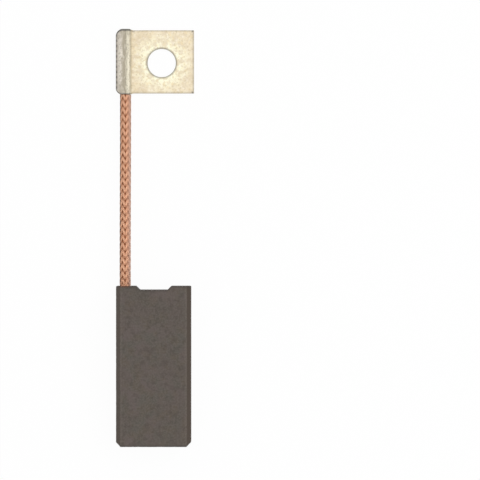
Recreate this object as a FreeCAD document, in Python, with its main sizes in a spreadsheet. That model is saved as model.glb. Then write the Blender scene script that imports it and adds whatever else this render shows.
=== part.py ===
import FreeCAD, Part
import math
import os
import Sketcher

from FreeCAD import Rotation, Vector

# A rectangular carbon brush lying on its wide side: a pressed carbon-graphite block, a flexible
# pigtail of braided copper pressed into its upper end, and a folded flag terminal crimped on the braid.
# Origin at the middle of the block's lower wide face. +Y runs from the contact face to the terminal,
# +X across the width of the brush, +Z up through its thickness. All lengths are in millimetres.

# Driving dimensions
SIZES = {
    "block_width": 12.5,            # X, across the brush box
    "block_thickness": 6.3,         # Z, along the slot of the brush box
    "block_length": 26.8,           # Y, contact face to spring end, unworn
    "long_edge_chamfer": 0.73,      # on the four long edges
    "contact_corner_chamfer": 0.77,  # on the two corners that enter the commutator side first
    "spring_corner_radius": 0.2,    # on the two corners of the spring end
    "seat_mouth_width": 5.92,       # spring seat: sloped notch in the spring end
    "seat_floor_width": 4.64,
    "seat_depth": 0.64,
    "wire_diameter": 1.85,          # braided pigtail
    "wire_from_side": 1.47,         # block's left side to the middle of the pigtail
    "root_depth": 6.5,              # pressed-in length of the pigtail
    "anchor_diameter": 2.3,         # opened-out end of the braid, which holds it in the carbon
    "anchor_length": 1.6,
    "anchor_taper": 0.6,
    "free_span": 32.1,              # block's spring end to the mouth of the barrel, straight
    "sheet_thickness": 0.4,         # tinned brass strip
    "terminal_width": 13.11,        # left side of the barrel to the free edge of the flag
    "flag_length": 10.59,           # Y
    "barrel_length": 10.95,         # Y, squeezed out a little longer than the flag
    "barrel_width": 2.47,
    "barrel_height": 2.0,
    "barrel_left_of_wire": 1.64,    # middle of the pigtail to the left side of the barrel
    "bend_radius": 0.4,             # inside of the two left bends
    "lobe_radius": 0.1,             # inside of the fold beside the flag
    "groove_depth": 0.3,            # crimp groove along the top of the barrel
    "groove_run": 0.6,              # left shoulder of the groove to its bottom
    "groove_radius": 0.3,
    "seam_gap": 0.05,               # folded edge to the flag below it
    "flag_clearance": 0.2,          # right side of the barrel to where the flag's ends step back
    "barrel_corner_radius": 1.3,    # both ends of the left side, seen from above
    "crimp_recess": 0.4,            # cut end of the braid inside the far end of the barrel
    "tooth_pitch": 0.87,            # crimping die's tooth marks along the left side
    "tooth_width": 0.42,
    "tooth_depth": 0.08,
    "hole_diameter": 4.75,          # clearance for an M4 screw
    "hole_from_free_edge": 5.42,
    "hole_from_near_end": 5.11,
}
TOOTH_MARKS = 11
CUT_MARGIN = 1.0                    # how far a cutting outline runs past the edge it trims

# Places worked out from the driving dimensions, as formulas for the sketches
WIRE_X = "(sizes.wire_from_side - sizes.block_width / 2)"
EXIT_HEIGHT = "(sizes.block_thickness / 2)"
SPRING_END_Y = "(sizes.block_length / 2)"
MOUTH_Y = f"({SPRING_END_Y} + sizes.free_span)"
BARREL_MIDDLE_Y = f"({MOUTH_Y} + sizes.barrel_length / 2)"
BARREL_LEFT_X = f"({WIRE_X} - sizes.barrel_left_of_wire)"
BARREL_RIGHT_X = f"({BARREL_LEFT_X} + sizes.barrel_width)"
FREE_EDGE_X = f"({BARREL_LEFT_X} + sizes.terminal_width)"
FLAG_NEAR_Y = f"({BARREL_MIDDLE_Y} - sizes.flag_length / 2)"
FLAG_FAR_Y = f"({BARREL_MIDDLE_Y} + sizes.flag_length / 2)"

doc = FreeCAD.newDocument("carbon_brush")
sheet = doc.addObject("Spreadsheet::Sheet", "sizes")
for row, (alias, value) in enumerate(SIZES.items(), start=1):
    sheet.set(f"A{row}", alias.replace("_", " "))
    sheet.set(f"B{row}", str(value))
    sheet.setAlias(f"B{row}", alias)
doc.recompute()


def size(alias):
    """Value of one driving dimension, in millimetres."""
    return float(sheet.get(alias))


def new_body(name):
    body = doc.addObject("PartDesign::Body", name)
    body.Label = name
    return body


def origin_part(body, role):
    """Plane or axis of the body's own origin."""
    for feature in body.Origin.OriginFeatures:
        if feature.Role == role:
            return feature
    raise ValueError(f"{body.Name} has no {role}")


def new_sketch(body, name, plane_role, shift=None):
    """Sketch on an origin plane, shifted in the plane's own directions by formulas."""
    sketch = body.newObject("Sketcher::SketchObject", name)
    sketch.AttachmentSupport = [(origin_part(body, plane_role), "")]
    sketch.MapMode = "FlatFace"
    for direction, formula in (shift or {}).items():
        sketch.setExpression(f"AttachmentOffset.Base.{direction}", formula)
    return sketch


def place_point(sketch, edge, end, label, x_formula, y_formula):
    """Tie one point of the sketch to the sheet by its two coordinates."""
    drawn = sketch.getPoint(edge, end)
    for direction, value, formula in (("X", drawn.x, x_formula), ("Y", drawn.y, y_formula)):
        index = sketch.addConstraint(Sketcher.Constraint(f"Distance{direction}", edge, end, value))
        sketch.renameConstraint(index, f"{label}_{direction.lower()}")
        sketch.setExpression(f"Constraints.{label}_{direction.lower()}", formula)


def draw_polygon(sketch, corners):
    """Closed outline of straight lines; each corner is a pair of formulas."""
    first = sketch.GeometryCount
    count = len(corners)
    start = [Vector(math.cos(2 * math.pi * i / count), math.sin(2 * math.pi * i / count), 0)
             for i in range(count)]
    for i in range(count):
        sketch.addGeometry(Part.LineSegment(start[i], start[(i + 1) % count]))
    for i in range(count):
        sketch.addConstraint(Sketcher.Constraint("Coincident", first + i, 2, first + (i + 1) % count, 1))
    for i, (x_formula, y_formula) in enumerate(corners):
        place_point(sketch, first + i, 1, f"corner{first + i}", x_formula, y_formula)


def draw_circle(sketch, x_formula, y_formula, diameter_formula):
    edge = sketch.addGeometry(Part.Circle(Vector(0, 0, 0), Vector(0, 0, 1), 1.0))
    index = sketch.addConstraint(Sketcher.Constraint("Diameter", edge, 2.0))
    sketch.renameConstraint(index, "diameter")
    sketch.setExpression("Constraints.diameter", diameter_formula)
    place_point(sketch, edge, 3, "centre", x_formula, y_formula)


def pad_both_ways(body, name, sketch, length_formula):
    pad = body.newObject("PartDesign::Pad", name)
    pad.Profile = sketch
    pad.SideType = "Symmetric"
    pad.setExpression("Length", length_formula)
    doc.recompute()
    return pad


def cut_through(body, name, sketch):
    """Pocket that runs right through the body, both ways from its sketch."""
    volume = body.Shape.Volume
    pocket = body.newObject("PartDesign::Pocket", name)
    pocket.Profile = sketch
    pocket.Type = "ThroughAll"
    pocket.SideType = "Symmetric"
    doc.recompute()
    if body.Shape.Volume >= volume:
        raise RuntimeError(f"{name} cuts nothing")
    return pocket


def edges_along_y(feature, corners):
    """Names of the feature's edges that run along Y through the given X, Z corners."""
    names = []
    for number, edge in enumerate(feature.Shape.Edges, start=1):
        ends = [vertex.Point for vertex in edge.Vertexes]
        if len(ends) != 2 or abs(ends[0].x - ends[1].x) + abs(ends[0].z - ends[1].z) > 1e-6:
            continue
        if any(abs(ends[0].x - corner.x) + abs(ends[0].z - corner.y) < 1e-4 for corner in corners):
            names.append(f"Edge{number}")
    return names


def round_bends(body, section, bends):
    """Round a pad's long edges, bend by bend: corner numbers of its section, and the radius."""
    for name, corner_numbers, radius_formula in bends:
        base = body.Tip
        corners = [section.Geometry[number].StartPoint for number in corner_numbers]
        fillet = body.newObject("PartDesign::Fillet", name)
        fillet.Base = (base, edges_along_y(base, corners))
        fillet.setExpression("Radius", radius_formula)
        doc.recompute()


def cut_barrel_corner(body, name, at_far_end):
    """Trim one end of the barrel's left side to a round corner, seen from above."""
    sketch = new_sketch(body, f"{name}_outline", "XY_Plane")
    radius = size("barrel_corner_radius")
    outwards = 1 if at_far_end else -1
    left = size("wire_from_side") - size("block_width") / 2 - size("barrel_left_of_wire")
    end = size("block_length") / 2 + size("free_span") + (size("barrel_length") if at_far_end else 0)
    centre = Vector(left + radius, end - outwards * radius, 0)
    circle = Part.Circle(centre, Vector(0, 0, 1), radius)
    if at_far_end:
        sketch.addGeometry(Part.ArcOfCircle(circle, math.pi / 2, math.pi))
    else:
        sketch.addGeometry(Part.ArcOfCircle(circle, math.pi, 3 * math.pi / 2))
    side_end, mouth_end = (2, 1) if at_far_end else (1, 2)
    side = Vector(left, centre.y, 0)
    mouth = Vector(centre.x, end, 0)
    outer = [side, side - Vector(CUT_MARGIN, 0, 0), Vector(left - CUT_MARGIN, end + outwards * CUT_MARGIN, 0),
             mouth + Vector(0, outwards * CUT_MARGIN, 0), mouth]
    for i in range(4):
        sketch.addGeometry(Part.LineSegment(outer[i], outer[i + 1]))
    sketch.addConstraint(Sketcher.Constraint("Coincident", 0, side_end, 1, 1))
    for i in range(1, 4):
        sketch.addConstraint(Sketcher.Constraint("Coincident", i, 2, i + 1, 1))
    sketch.addConstraint(Sketcher.Constraint("Coincident", 4, 2, 0, mouth_end))

    sign = "+" if at_far_end else "-"
    end_y = f"({MOUTH_Y} + sizes.barrel_length)" if at_far_end else MOUTH_Y
    centre_x = f"({BARREL_LEFT_X} + sizes.barrel_corner_radius)"
    centre_y = f"({end_y} - {sign}1 * sizes.barrel_corner_radius)"
    margin_x = f"{BARREL_LEFT_X} - {CUT_MARGIN}"
    margin_y = f"{end_y} {sign} {CUT_MARGIN}"
    place_point(sketch, 0, 3, "centre", centre_x, centre_y)
    place_point(sketch, 1, 1, "side", BARREL_LEFT_X, centre_y)
    place_point(sketch, 1, 2, "side_margin", margin_x, centre_y)
    place_point(sketch, 2, 2, "corner_margin", margin_x, margin_y)
    place_point(sketch, 3, 2, "mouth_margin", centre_x, margin_y)
    index = sketch.addConstraint(Sketcher.Constraint("DistanceX", 4, 2, centre.x))
    sketch.renameConstraint(index, "mouth_x")
    sketch.setExpression("Constraints.mouth_x", centre_x)
    doc.recompute()
    cut_through(body, name, sketch)


# The cavity of the barrel follows the folded sheet at one sheet thickness. A slope of the groove is
# shifted inwards by the thickness, so its height drops by the thickness over the cosine of the slope.
RIGHT_RUN = f"({BARREL_RIGHT_X} - {WIRE_X})"
LEFT_SLOPE = "(sizes.groove_depth / sizes.groove_run)"
RIGHT_SLOPE = f"(sizes.groove_depth / {RIGHT_RUN})"
LEFT_STRETCH = f"sqrt(1 + {LEFT_SLOPE}^2)"
RIGHT_STRETCH = f"sqrt(1 + {RIGHT_SLOPE}^2)"
SHOULDER_X = f"({WIRE_X} - sizes.groove_run)"
INNER_LEFT_X = f"({BARREL_LEFT_X} + sizes.sheet_thickness)"
INNER_RIGHT_X = f"({BARREL_RIGHT_X} - sizes.sheet_thickness)"
INNER_TOP = "(sizes.barrel_height - sizes.sheet_thickness)"
INNER_SHOULDER_X = f"({SHOULDER_X} - sizes.sheet_thickness * ({LEFT_STRETCH} - 1) / {LEFT_SLOPE})"
GROOVE_SHIFT = (f"(sizes.sheet_thickness * ({RIGHT_STRETCH} - {LEFT_STRETCH})"
                f" / ({LEFT_SLOPE} + {RIGHT_SLOPE}))")
GROOVE_BOTTOM = "(sizes.barrel_height - sizes.groove_depth)"
INNER_GROOVE_Z = f"({GROOVE_BOTTOM} - {GROOVE_SHIFT} * {LEFT_SLOPE} - sizes.sheet_thickness * {LEFT_STRETCH})"
INNER_LOBE_Z = (f"({GROOVE_BOTTOM} + ({INNER_RIGHT_X} - {WIRE_X}) * {RIGHT_SLOPE}"
                f" - sizes.sheet_thickness * {RIGHT_STRETCH})")
SHEET_TOP = "sizes.sheet_thickness"

CAVITY_CORNERS = [
    (INNER_LEFT_X, SHEET_TOP),
    (INNER_LEFT_X, INNER_TOP),
    (INNER_SHOULDER_X, INNER_TOP),
    (f"({WIRE_X} + {GROOVE_SHIFT})", INNER_GROOVE_Z),
    (INNER_RIGHT_X, INNER_LOBE_Z),
]


def make_carbon_block():
    """Pressed and ground block: bevelled bar, sloped spring seat, blind socket round the braid."""
    body = new_body("carbon_block")
    half = "sizes.block_width / 2"
    bevel = "sizes.long_edge_chamfer"
    top = "sizes.block_thickness"
    section = new_sketch(body, "bar_section", "XZ_Plane")
    draw_polygon(section, [
        (f"-{half} + {bevel}", "0"), (f"{half} - {bevel}", "0"),
        (half, bevel), (half, f"{top} - {bevel}"),
        (f"{half} - {bevel}", top), (f"-{half} + {bevel}", top),
        (f"-{half}", f"{top} - {bevel}"), (f"-{half}", bevel),
    ])
    pad_both_ways(body, "bar", section, "sizes.block_length")

    bar = body.Tip
    side = size("block_width") / 2
    corner_edges = []
    for number, edge in enumerate(bar.Shape.Edges, start=1):
        middle = edge.CenterOfMass
        if abs(abs(middle.x) - side) < 1e-6 and abs(middle.y - size("block_length") / 2) < 1e-6:
            corner_edges.append(f"Edge{number}")
    softened = body.newObject("PartDesign::Fillet", "spring_end_corners")
    softened.Base = (bar, corner_edges)
    softened.setExpression("Radius", "sizes.spring_corner_radius")
    doc.recompute()

    seat = new_sketch(body, "seat_outline", "XY_Plane")
    mouth = "sizes.seat_mouth_width / 2"
    floor = "sizes.seat_floor_width / 2"
    slope = f"(({mouth} - {floor}) / sizes.seat_depth)"
    above = f"{SPRING_END_Y} + {CUT_MARGIN}"
    floor_y = f"{SPRING_END_Y} - sizes.seat_depth"
    draw_polygon(seat, [
        (f"-{floor}", floor_y), (floor, floor_y),
        (f"{mouth} + {slope} * {CUT_MARGIN}", above), (f"-{mouth} - {slope} * {CUT_MARGIN}", above),
    ])
    cut_through(body, "spring_seat", seat)

    corners = new_sketch(body, "contact_corner_outline", "XY_Plane")
    cut = "sizes.contact_corner_chamfer"
    contact_y = f"-{SPRING_END_Y}"
    for sign in ("-", ""):
        outwards = sign or "+"
        draw_polygon(corners, [
            (f"{sign}({half} - {cut} - {CUT_MARGIN})", f"{contact_y} - {CUT_MARGIN}"),
            (f"{sign}({half}) {outwards} {CUT_MARGIN}", f"{contact_y} + {cut} + {CUT_MARGIN}"),
            (f"{sign}({half}) {outwards} {CUT_MARGIN}", f"{contact_y} - {CUT_MARGIN}"),
        ])
    cut_through(body, "contact_corners", corners)

    volume = body.Shape.Volume
    socket = body.newObject("PartDesign::Groove", "braid_socket")
    socket.Profile = draw_root_profile(body, "socket_profile")
    socket.ReferenceAxis = (socket.Profile[0], ["H_Axis"])
    socket.Angle = 360
    doc.recompute()
    if body.Shape.Volume >= volume:
        raise RuntimeError("braid_socket cuts nothing")
    return body


def draw_root_profile(body, name):
    """Half section of the pressed-in root, drawn beside its axis: rod, short taper, wider anchor."""
    profile = new_sketch(body, name, "YZ_Plane", {"y": EXIT_HEIGHT, "z": WIRE_X})
    rod = "sizes.wire_diameter / 2"
    anchor = "sizes.anchor_diameter / 2"
    bottom = f"({SPRING_END_Y} - sizes.root_depth)"
    draw_polygon(profile, [
        (bottom, "0"), (SPRING_END_Y, "0"), (SPRING_END_Y, rod),
        (f"{bottom} + sizes.anchor_length + sizes.anchor_taper", rod),
        (f"{bottom} + sizes.anchor_length", anchor), (bottom, anchor),
    ])
    doc.recompute()
    return profile


def pigtail_route():
    """Points of the pigtail's centre line as (Y, Z): out of the block, down, and level into the barrel."""
    exit_y = size("block_length") / 2
    exit_z = size("block_thickness") / 2
    mouth_y = exit_y + size("free_span")
    mouth_z = size("barrel_height") / 2
    return [
        (exit_y, exit_z),
        (exit_y + 7.2, exit_z),
        (exit_y + 15.8, exit_z - 0.8),
        (mouth_y - 7.45, mouth_z),
        (mouth_y, mouth_z),
    ]


def draw_route(sketch, points):
    """Straight runs joined by tangent arcs as large as the runs allow; returns the route's length."""
    runs = [Vector(y, z, 0) for y, z in points]
    start = runs[0]
    length = 0.0
    for before, corner, after in zip(runs, runs[1:], runs[2:]):
        incoming = (corner - before).normalize()
        outgoing = (after - corner).normalize()
        turn = incoming.getAngle(outgoing)
        tangent = 0.45 * min((corner - before).Length, (after - corner).Length)
        radius = tangent / math.tan(turn / 2)
        arc_start = corner - incoming * tangent
        arc_end = corner + outgoing * tangent
        bisector = (outgoing - incoming).normalize()
        arc_middle = corner + bisector * (radius / math.cos(turn / 2) - radius)
        sketch.addGeometry(Part.LineSegment(start, arc_start))
        sketch.addGeometry(Part.Arc(arc_start, arc_middle, arc_end))
        length += (arc_start - start).Length + radius * turn
        start = arc_end
        print(f"pigtail bend radius {radius:.1f} mm, turn {math.degrees(turn):.1f} degrees")
    sketch.addGeometry(Part.LineSegment(start, runs[-1]))
    return length + (runs[-1] - start).Length


def make_pigtail():
    """Copper braid: crimped end in the barrel, free stretch, and the anchored root in the carbon."""
    body = new_body("pigtail")
    packed = new_sketch(body, "packed_section", "XZ_Plane",
                        {"z": f"-({BARREL_MIDDLE_Y} - sizes.crimp_recess / 2)"})
    draw_polygon(packed, CAVITY_CORNERS + [(INNER_RIGHT_X, SHEET_TOP)])
    doc.recompute()
    pad_both_ways(body, "crimped_end", packed, "sizes.barrel_length - sizes.crimp_recess")
    round_bends(body, packed, [
        ("packed_left_bends", [0, 1, 2], "sizes.bend_radius"),
        ("packed_groove", [3], "sizes.groove_radius + sizes.sheet_thickness"),
        ("packed_lobe", [4], "sizes.lobe_radius"),
    ])
    cut_barrel_corner(body, "mouth_corner", at_far_end=False)
    crimped_volume = body.Shape.Volume

    route = new_sketch(body, "route", "YZ_Plane", {"z": WIRE_X})
    length = draw_route(route, pigtail_route())
    doc.recompute()
    round_section = new_sketch(body, "round_section", "XZ_Plane", {"z": f"-{SPRING_END_Y}"})
    draw_circle(round_section, WIRE_X, EXIT_HEIGHT, "sizes.wire_diameter")
    free_stretch = body.newObject("PartDesign::AdditivePipe", "free_stretch")
    free_stretch.Profile = round_section
    free_stretch.Spine = (route, [f"Edge{n}" for n in range(1, route.GeometryCount + 1)])
    doc.recompute()
    expected = math.pi * (size("wire_diameter") / 2) ** 2 * length
    made = body.Shape.Volume - crimped_volume
    print(f"pigtail free length {length:.2f} mm, volume {made:.2f} of {expected:.2f} mm3")
    if abs(made / expected - 1) > 0.01:
        raise RuntimeError("the free stretch has the wrong volume")

    root = body.newObject("PartDesign::Revolution", "root")
    root.Profile = draw_root_profile(body, "root_profile")
    root.ReferenceAxis = (root.Profile[0], ["H_Axis"])
    root.Angle = 360
    doc.recompute()
    return body


def make_terminal():
    """Flag terminal folded from one strip: flat flag, and a barrel crimped round the braid."""
    body = new_body("terminal")
    section = new_sketch(body, "folded_section", "XZ_Plane", {"z": f"-{BARREL_MIDDLE_Y}"})
    seam = f"({SHEET_TOP} + sizes.seam_gap)"
    outside = [
        (FREE_EDGE_X, "0"), (BARREL_LEFT_X, "0"), (BARREL_LEFT_X, "sizes.barrel_height"),
        (SHOULDER_X, "sizes.barrel_height"), (WIRE_X, GROOVE_BOTTOM),
        (BARREL_RIGHT_X, "sizes.barrel_height"), (BARREL_RIGHT_X, seam),
    ]
    inside = [(INNER_RIGHT_X, seam)] + CAVITY_CORNERS[::-1] + [(FREE_EDGE_X, SHEET_TOP)]
    draw_polygon(section, outside + inside)
    doc.recompute()
    pad_both_ways(body, "folded_strip", section, "sizes.barrel_length")
    round_bends(body, section, [
        ("outer_left_bends", [1, 2, 3], "sizes.bend_radius + sizes.sheet_thickness"),
        ("inner_left_bends", [10, 11, 12], "sizes.bend_radius"),
        ("outer_groove", [4], "sizes.groove_radius"),
        ("inner_groove", [9], "sizes.groove_radius + sizes.sheet_thickness"),
        ("outer_lobe", [5], "sizes.lobe_radius + sizes.sheet_thickness"),
        ("inner_lobe", [8], "sizes.lobe_radius"),
    ])

    ends = new_sketch(body, "flag_end_outline", "XY_Plane")
    step_x = f"{BARREL_RIGHT_X} + sizes.flag_clearance"
    far_x = f"{FREE_EDGE_X} + {CUT_MARGIN}"
    for flag_y, sign in ((FLAG_NEAR_Y, "-"), (FLAG_FAR_Y, "+")):
        past_y = f"{BARREL_MIDDLE_Y} {sign} (sizes.barrel_length / 2 + {CUT_MARGIN})"
        draw_polygon(ends, [(step_x, flag_y), (far_x, flag_y), (far_x, past_y), (step_x, past_y)])
    doc.recompute()
    cut_through(body, "flag_ends", ends)
    cut_barrel_corner(body, "near_corner", at_far_end=False)
    cut_barrel_corner(body, "far_corner", at_far_end=True)

    hole = new_sketch(body, "hole_outline", "XY_Plane")
    draw_circle(hole, f"{FREE_EDGE_X} - sizes.hole_from_free_edge",
                f"{FLAG_NEAR_Y} + sizes.hole_from_near_end", "sizes.hole_diameter")
    doc.recompute()
    cut_through(body, "screw_hole", hole)

    mark = new_sketch(body, "tooth_outline", "XY_Plane")
    first_y = f"({BARREL_MIDDLE_Y} - sizes.tooth_pitch * {(TOOTH_MARKS - 1) / 2})"
    stretch = f"(1 + {CUT_MARGIN} / sizes.tooth_depth)"
    half_mark = f"(sizes.tooth_width / 2 * {stretch})"
    outer_x = f"({BARREL_LEFT_X} - {CUT_MARGIN})"
    draw_polygon(mark, [
        (f"{BARREL_LEFT_X} + sizes.tooth_depth", first_y),
        (outer_x, f"{first_y} + {half_mark}"),
        (outer_x, f"{first_y} - {half_mark}"),
    ])
    doc.recompute()
    first_mark = cut_through(body, "tooth_mark", mark)
    marks = body.newObject("PartDesign::LinearPattern", "tooth_marks")
    marks.Originals = [first_mark]
    marks.Direction = (origin_part(body, "Y_Axis"), [""])
    marks.Occurrences = TOOTH_MARKS
    marks.setExpression("Length", f"sizes.tooth_pitch * {TOOTH_MARKS - 1}")
    body.Tip = marks
    doc.recompute()
    return body


def check(body):
    """Stop if any feature failed or the finished shape is not one valid solid."""
    for feature in body.Group:
        if "Invalid" in feature.State or "Error" in feature.State:
            raise RuntimeError(f"{feature.Name} failed: {feature.State}")
    shape = body.Shape
    if shape.isNull() or not shape.isValid() or len(shape.Solids) != 1:
        raise RuntimeError(f"{body.Name} is not one valid solid")
    box = shape.BoundBox
    print(f"{body.Label}: {shape.Volume:.2f} mm3, X {box.XMin:.2f} to {box.XMax:.2f}, "
          f"Y {box.YMin:.2f} to {box.YMax:.2f}, Z {box.ZMin:.2f} to {box.ZMax:.2f}")


bodies = [make_carbon_block(), make_pigtail(), make_terminal()]
for body in bodies:
    body.Placement = FreeCAD.Placement(Vector(0, 0, 0), Rotation())
doc.recompute()
for body in bodies:
    check(body)

os.makedirs("parts", exist_ok=True)
for body in bodies:
    body.Shape.exportStep(f"parts/{body.Label}.step")
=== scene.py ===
# %% [markdown]
# A carbon brush carries current to the spinning part of a small motor. It has three pieces:
# a pressed carbon block that rubs, a soft copper pigtail that bends with it as it wears, and a
# tinned brass terminal that a screw holds. The CAD model gives the true sizes. This lesson keeps
# that model as a fixed frame and makes for each piece the surface that an eye would see.
# The pieces are worked out in millimetres, as on a workshop drawing, and turned into metres at the
# last moment, because one Blender unit is one metre here. Only the pigtail's route, the camera, the
# white sheet and the lamp are written in metres from the start.

# %% Load the fixed frame
import math

import bmesh
import bpy
import numpy as np
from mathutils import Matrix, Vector, geometry, noise


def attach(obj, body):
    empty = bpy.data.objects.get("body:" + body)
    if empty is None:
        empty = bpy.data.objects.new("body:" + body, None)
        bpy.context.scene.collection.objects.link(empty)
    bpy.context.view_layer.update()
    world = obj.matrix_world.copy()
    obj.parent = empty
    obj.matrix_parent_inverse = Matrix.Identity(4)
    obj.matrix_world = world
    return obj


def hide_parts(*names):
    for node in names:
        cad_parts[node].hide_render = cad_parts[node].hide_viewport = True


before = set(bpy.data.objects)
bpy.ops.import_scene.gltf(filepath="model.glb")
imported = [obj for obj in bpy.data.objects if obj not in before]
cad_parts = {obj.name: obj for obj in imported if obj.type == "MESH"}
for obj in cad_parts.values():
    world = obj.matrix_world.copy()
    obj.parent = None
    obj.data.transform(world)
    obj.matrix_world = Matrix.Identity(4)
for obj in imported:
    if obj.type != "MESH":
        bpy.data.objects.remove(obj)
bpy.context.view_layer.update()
MM = 0.001
print("nodes in the frame:", sorted(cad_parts))

# %% [markdown]
# The camera comes first, so that every later step can be judged through it. The brush was
# photographed from straight above and from far off. A long lens at two thirds of a metre gives the
# same calm, almost parallel view.

# %% Set the camera
CAMERA_X, CAMERA_Y, CAMERA_HEIGHT = 0.014417, 0.021065, 0.6721
scene = bpy.context.scene
camera_data = bpy.data.cameras.new("copy_stand_camera")
camera_data.lens = 300.0
camera_data.sensor_width = 36.0
camera_data.clip_start = 0.05
camera_data.clip_end = 20.0
camera = bpy.data.objects.new("copy_stand_camera", camera_data)
camera.location = (CAMERA_X, CAMERA_Y, CAMERA_HEIGHT)
camera.rotation_euler = (0.0, 0.0, 0.0)
scene.collection.objects.link(camera)
scene.camera = camera
scene.view_settings.view_transform = "Standard"
print("camera height in mm:", CAMERA_HEIGHT / MM)

# %% [markdown]
# The pigtail is a soft cord, so it needs a line before it needs wires. The points below are the
# ones that the CAD route has. A NURBS spline of order three runs smoothly past them, and its order
# is set after the points, because a shorter spline would fall back to straight runs.
# Blender turns the curve into a mesh of points, and the wires will follow those points.

# %% Draw the pigtail's line
ROUTE = [
    (-0.00478, 0.0134, 0.00315),
    (-0.00478, 0.0206, 0.00315),
    (-0.00478, 0.0292, 0.00235),
    (-0.00478, 0.03805, 0.001),
    (-0.00478, 0.0455, 0.001),
]
ROUTE_STEPS = 60
WIRE_X = ROUTE[0][0] / MM


def points_on_route():
    """The places that Blender's own spline passes through, from the carbon to the terminal."""
    curve = bpy.data.curves.new("pigtail_line", "CURVE")
    curve.dimensions = "3D"
    spline = curve.splines.new("NURBS")
    spline.points.add(len(ROUTE) - 1)
    for point, place in zip(spline.points, ROUTE):
        point.co = (*place, 1.0)
    spline.order_u = 3
    spline.use_endpoint_u = True
    curve.resolution_u = ROUTE_STEPS
    holder = bpy.data.objects.new("pigtail_line", curve)
    scene.collection.objects.link(holder)
    bpy.context.view_layer.update()
    line = bpy.data.meshes.new_from_object(holder)
    places = [tuple(vertex.co) for vertex in line.vertices]
    bpy.data.objects.remove(holder)
    bpy.data.meshes.remove(line)
    return places


route_places = points_on_route()
route_line = np.array(route_places) / MM
route_runs = np.linalg.norm(np.diff(route_line, axis=0), axis=1)
route_marks = np.concatenate([[0.0], np.cumsum(route_runs)])
FREE_LENGTH = float(route_marks[-1])
print("points on the line:", len(route_line), "free length in mm:", round(FREE_LENGTH, 2))

# %% [markdown]
# A place on the cord is told by three numbers: how far along it is, how far to the side, and how
# far up from the middle. The line lies in one upright plane, so "side" is always the X axis and "up"
# is square to the line. Past both ends the cord runs straight on, into the carbon and into the
# terminal. A modifier could bend a straight cord too, but it could not squeeze it in the crimp.

# %% Stand on the line
SLOPE_REACH = 0.2


def on_route(along):
    """Middle of the cord and its up direction at distances along it, in mm."""
    inside = np.clip(along, 0.0, FREE_LENGTH)
    middle = np.stack([np.interp(inside, route_marks, route_line[:, axis]) for axis in range(3)], 1)
    middle[:, 1] += along - inside
    ahead = np.clip(along + SLOPE_REACH, 0.0, FREE_LENGTH)
    behind = np.clip(along - SLOPE_REACH, 0.0, FREE_LENGTH)
    run, rise = [
        np.interp(ahead, route_marks, route_line[:, axis])
        - np.interp(behind, route_marks, route_line[:, axis])
        for axis in (1, 2)
    ]
    slope = np.divide(rise, run, out=np.zeros_like(rise), where=run > 1e-9)
    steep = np.sqrt(1.0 + slope ** 2)
    up = np.stack([np.zeros_like(slope), -slope / steep, 1.0 / steep], 1)
    return middle, up


halfway = on_route(np.array([FREE_LENGTH / 2.0]))[0]
print("halfway along, the cord's middle in mm:", halfway[0].round(2))

# %% [markdown]
# Every piece starts as a list of places and a list of faces. One helper turns them into a smooth
# mesh, gives it its finish and fixes it to the part's root. Another keeps a number on each vertex.
# A painted picture could tell a finish the same, but then the piece would have to be unwrapped.


# %% Turn lists of places into a piece
def make_piece(name, places, faces, finish):
    """A smooth mesh object from places in mm, riding on the frame."""
    mesh = bpy.data.meshes.new(name)
    mesh.from_pydata([tuple(p) for p in np.asarray(places) * MM], [], faces)
    mesh.validate()
    mesh.shade_smooth()
    piece = bpy.data.objects.new(name, mesh)
    scene.collection.objects.link(piece)
    mesh.materials.append(finish)
    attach(piece, "root")
    print(name, "has", len(mesh.vertices), "vertices and", len(mesh.polygons), "faces")
    return piece


def mark_vertices(piece, name, values):
    """Keeps one number per vertex, which a finish can read by its name."""
    marks = piece.data.attributes.new(name, "FLOAT", "POINT")
    marks.data.foreach_set("value", np.asarray(values, np.float32))


# %% [markdown]
# A finish is a small graph of nodes that feeds one shader. Colours are written here as a paint
# program shows them and turned into the linear values that light needs. Whatever is the same all
# over a surface goes straight into the shader's socket, and only what varies gets nodes.


# %% Start a finish
def paint(red, green, blue):
    """A colour in 0 to 255 steps, as linear light."""
    steps = [channel / 255.0 for channel in (red, green, blue)]
    return tuple(s / 12.92 if s <= 0.04045 else ((s + 0.055) / 1.055) ** 2.4 for s in steps) + (1.0,)


def new_finish(name, **sockets):
    """A material with one shader, and the tree that nodes are added to."""
    finish = bpy.data.materials.new(name)
    finish.use_nodes = True
    shader = finish.node_tree.nodes["Principled BSDF"]
    for socket, value in sockets.items():
        shader.inputs[socket.replace("_", " ")].default_value = value
    return finish, finish.node_tree, shader


def add_node(tree, kind, inputs=(), **settings):
    """One node with its settings, and with each input either linked or filled in."""
    made = tree.nodes.new(kind)
    for setting, value in settings.items():
        setattr(made, setting, value)
    for socket, value in dict(inputs).items():
        if isinstance(value, bpy.types.NodeSocket):
            tree.links.new(value, made.inputs[socket])
        else:
            made.inputs[socket].default_value = value
    return made


print("mid grey in linear light:", round(paint(128, 128, 128)[0], 3))

# %% [markdown]
# What varies over a surface starts as a number: how cloudy a spot is, how far it lies along an axis
# or from a fixed place, or what the mesh keeps on its vertices. Each helper adds the nodes for one
# such number, and a ramp and a blend turn it into colour. The clouds are noise that is fixed to the
# object, so a spot stays where it is from every side.


# %% Numbers that vary over a surface
def object_place(tree):
    """The spot on the object itself, in metres, so a pattern stays where it is from any side."""
    return add_node(tree, "ShaderNodeTexCoord").outputs["Object"]


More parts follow.
